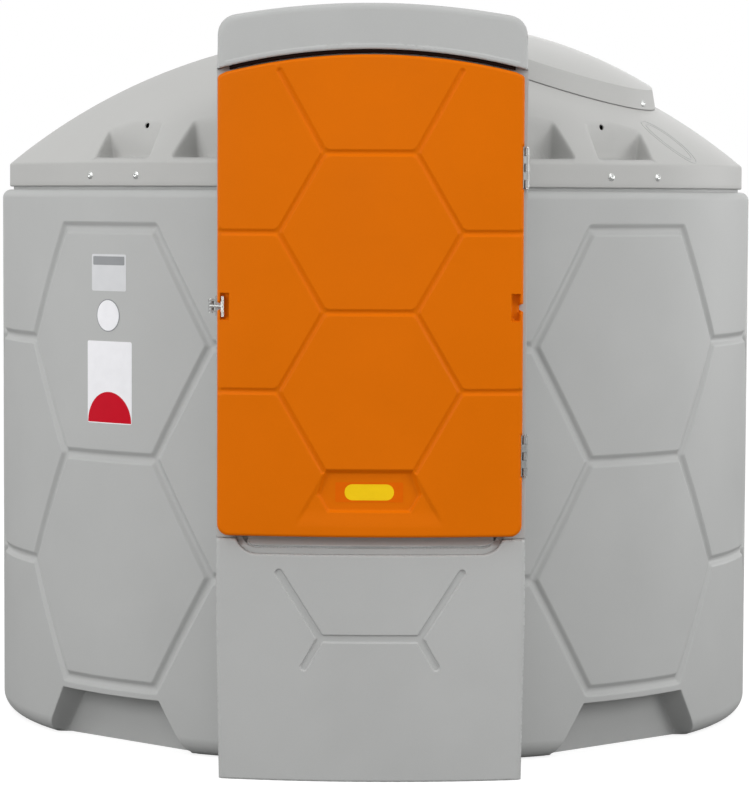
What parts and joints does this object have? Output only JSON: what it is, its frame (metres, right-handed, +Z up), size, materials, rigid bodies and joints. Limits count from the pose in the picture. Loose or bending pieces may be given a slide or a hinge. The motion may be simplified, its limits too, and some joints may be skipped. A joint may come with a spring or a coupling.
{
  "type": "bunded fuel tank",
  "caption": "Upright round double-walled plastic tank with a domed top, a screwed manhole lid and a hooded front cabinet behind a hinged, latched door.",
  "frame": {"origin": "where the tank's upright axis meets the floor", "axes": "+Z up, -Y towards the door side, +X to the right of someone who faces the door"},
  "size_m": [2.24, 2.52, 2.0551],
  "materials": {
    "grey_polyethylene": "satin, rotationally moulded",
    "cabinet_polyethylene": "satin, rotationally moulded",
    "tank_polyethylene": "satin",
    "orange_polyethylene": "satin, rotationally moulded",
    "steel_fittings": "zinc plated",
    "cap_aluminium": "cast, satin",
    "gauge_plastic": "moulded, glossy",
    "gauge_glass": "clear"
  },
  "bodies": {
    "tank": {"bund_tank": "grey_polyethylene", "tank_dome": "grey_polyethylene", "inner_tank": "tank_polyethylene", "manhole_collar": "grey_polyethylene", "manhole_lid": "grey_polyethylene", "cabinet_body": "cabinet_polyethylene", "cabinet_hood": "cabinet_polyethylene", "hinge_upper_frame": "steel_fittings", "hinge_upper_pin": "steel_fittings", "hinge_lower_frame": "steel_fittings", "hinge_lower_pin": "steel_fittings", "latch_base": "steel_fittings", "latch_pin": "steel_fittings", "fill_pipe": "steel_fittings", "fill_cap": "cap_aluminium", "level_gauge": "gauge_plastic", "gauge_glass": "gauge_glass"},
    "door": {"door_panel": "orange_polyethylene", "hinge_upper_door": "steel_fittings", "hinge_lower_door": "steel_fittings", "latch_hook": "steel_fittings"},
    "latch_lever": {"latch_lever": "steel_fittings"}
  },
  "joints": [
    {"name": "door_swing", "type": "hinge", "parent": "tank", "child": "door", "pos_m": [0.4033, -1.34342, 0.858], "axis": [0, 0, 1], "range_deg": [0, 110]},
    {"name": "latch_turn", "type": "hinge", "parent": "tank", "child": "latch_lever", "pos_m": [-0.422, -1.292, 1.247], "axis": [0, 0, 1], "range_deg": [0, 95]}
  ]
}
